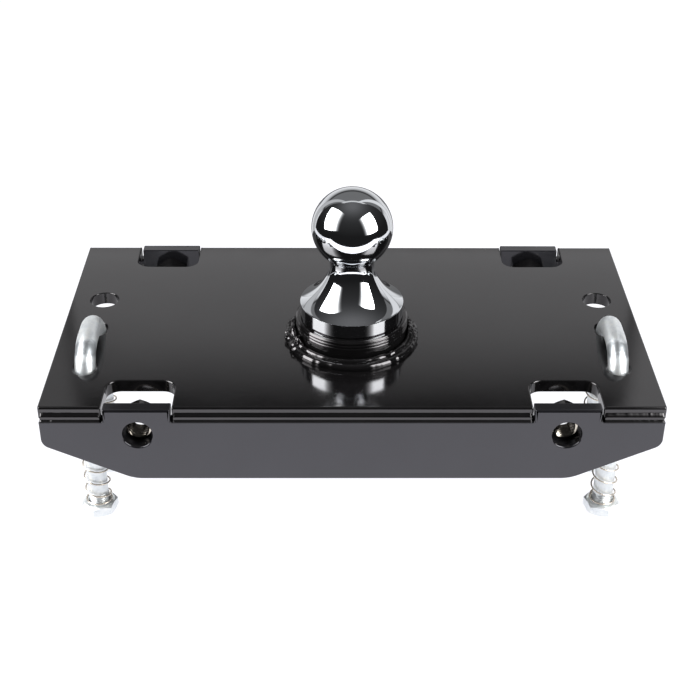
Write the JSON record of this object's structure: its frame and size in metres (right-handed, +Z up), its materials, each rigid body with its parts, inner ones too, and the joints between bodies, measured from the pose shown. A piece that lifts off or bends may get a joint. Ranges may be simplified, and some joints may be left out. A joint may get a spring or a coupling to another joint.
{
  "type": "gooseneck hitch head",
  "caption": "Under-bed gooseneck hitch head: black welded plate, chrome hitch ball on a neck, spring-loaded safety-chain loops and welded rail nuts.",
  "frame": {"origin": "centre of the four rail bolts, at the middle of the plate", "axes": "+X along the plate to the vehicle's right, +Y towards the cab, +Z up along the ball"},
  "size_m": [0.436, 0.2454, 0.2459],
  "materials": {
    "black_coat": "gloss black powder coat with light orange peel",
    "coated_weld": "rippled weld bead under gloss black coat",
    "coated_nut": "black-coated steel nut with bare bright threads",
    "zinc_plate": "bright zinc plating with faint blue tint and drawing marks",
    "spring_wire": "bright zinc-plated spring wire",
    "chrome_plate": "mirror-polished chrome plate"
  },
  "bodies": {
    "hitch_frame": {"top_plate": "black_coat", "front_side_plate": "black_coat", "rear_side_plate": "black_coat", "weld_nut_front_left": "coated_nut", "weld_nut_front_right": "coated_nut", "weld_nut_rear_left": "coated_nut", "weld_nut_rear_right": "coated_nut", "seam_weld_front_left": "coated_weld", "seam_weld_front_middle": "coated_weld", "seam_weld_front_right": "coated_weld", "seam_weld_rear_left": "coated_weld", "seam_weld_rear_middle": "coated_weld", "seam_weld_rear_right": "coated_weld", "receiver_tube": "black_coat", "collar_weld_upper": "coated_weld", "collar_weld_lower": "coated_weld", "lock_pin_housing": "black_coat", "lock_pin_cap": "zinc_plate", "lock_spring": "spring_wire", "chain_spring_front_left": "spring_wire", "chain_spring_rear_left": "spring_wire", "chain_spring_front_right": "spring_wire", "chain_spring_rear_right": "spring_wire"},
    "ball": {"hitch_ball": "chrome_plate"},
    "lock_pin": {"lock_pin": "zinc_plate"},
    "chain_loop_left": {"chain_u_bolt_left": "zinc_plate", "chain_nut_front_left": "zinc_plate", "chain_nut_rear_left": "zinc_plate"},
    "chain_loop_right": {"chain_u_bolt_right": "zinc_plate", "chain_nut_front_right": "zinc_plate", "chain_nut_rear_right": "zinc_plate"}
  },
  "joints": [
    {"name": "ball_swivel", "type": "hinge", "parent": "hitch_frame", "child": "ball", "pos_m": [0, -0.0214, 0.1103], "axis": [0, 0, 1], "continuous": true},
    {"name": "lock_pin_slide", "type": "slide", "parent": "hitch_frame", "child": "lock_pin", "axis": [-1, 0, 0], "range_m": [0, 0.012], "stiffness_N_per_m": 800, "springref_m": -0.01, "deforming": ["lock_spring"]},
    {"name": "chain_loop_left_slide", "type": "slide", "parent": "hitch_frame", "child": "chain_loop_left", "axis": [0, 0, 1], "range_m": [0, 0.085], "stiffness_N_per_m": 480, "springref_m": -0.02, "deforming": ["chain_spring_front_left", "chain_spring_rear_left"]},
    {"name": "chain_loop_right_slide", "type": "slide", "parent": "hitch_frame", "child": "chain_loop_right", "axis": [0, 0, 1], "range_m": [0, 0.085], "stiffness_N_per_m": 480, "springref_m": -0.02, "deforming": ["chain_spring_front_right", "chain_spring_rear_right"]}
  ]
}
